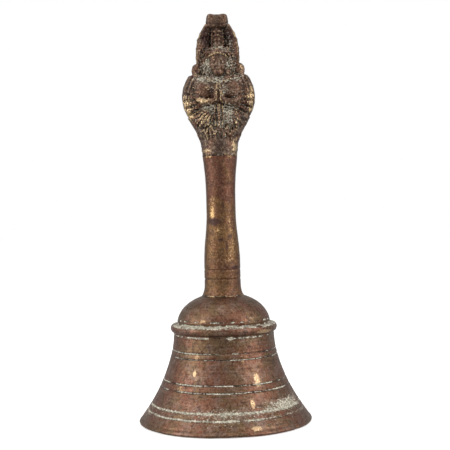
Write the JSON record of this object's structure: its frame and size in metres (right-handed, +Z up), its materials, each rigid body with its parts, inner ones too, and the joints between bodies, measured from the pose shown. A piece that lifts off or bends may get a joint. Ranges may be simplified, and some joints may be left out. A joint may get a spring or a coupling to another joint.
{
  "type": "hand bell",
  "caption": "Flared cast brass hand bell with a hanging clapper, a turned grip and a cast finial of a figure with folded hands under a cobra hood.",
  "frame": {"origin": "centre of the bell's mouth, on the plane that the bell stands on", "axes": "+Z up along the bell's axis to the finial, -Y towards the viewer (the figure faces -Y), +X to the viewer's right"},
  "size_m": [0.0766, 0.0766, 0.18],
  "materials": {
    "bell_brass": "aged cast brass with a red-brown patina, rubbed bright on high places and verdigris in the grooves",
    "grip_brass": "aged turned brass, worn smooth by hands, with dark stains",
    "figure_brass": "aged cast brass, golden on its high places, dark with pale verdigris in its hollows",
    "solder": "uneven bead with pale deposit",
    "bob_brass": "cast brass, bruised bright where it strikes",
    "iron": "dark oiled iron wire and stud with a little rust"
  },
  "bodies": {
    "bell": {"bell_body": "bell_brass", "handle_shaft": "grip_brass", "figure_finial": "figure_brass", "foot_solder": "solder", "neck_braze": "solder", "finial_pin": "iron", "handle_stud": "iron", "crown_washer": "iron", "crown_nut": "iron"},
    "ring": {"hanger_ring": "iron"},
    "clapper": {"clapper_stem": "iron", "clapper_bob": "bob_brass"}
  },
  "joints": [
    {"name": "ring_swing", "type": "hinge", "parent": "bell", "child": "ring", "pos_m": [0, 0, 0.041], "axis": [0, 1, 0], "range_deg": [-33, 33]},
    {"name": "clapper_sway", "type": "hinge", "parent": "ring", "child": "clapper", "pos_m": [0, 0, 0.0353], "axis": [1, 0, 0], "range_deg": [-15, 15]}
  ]
}
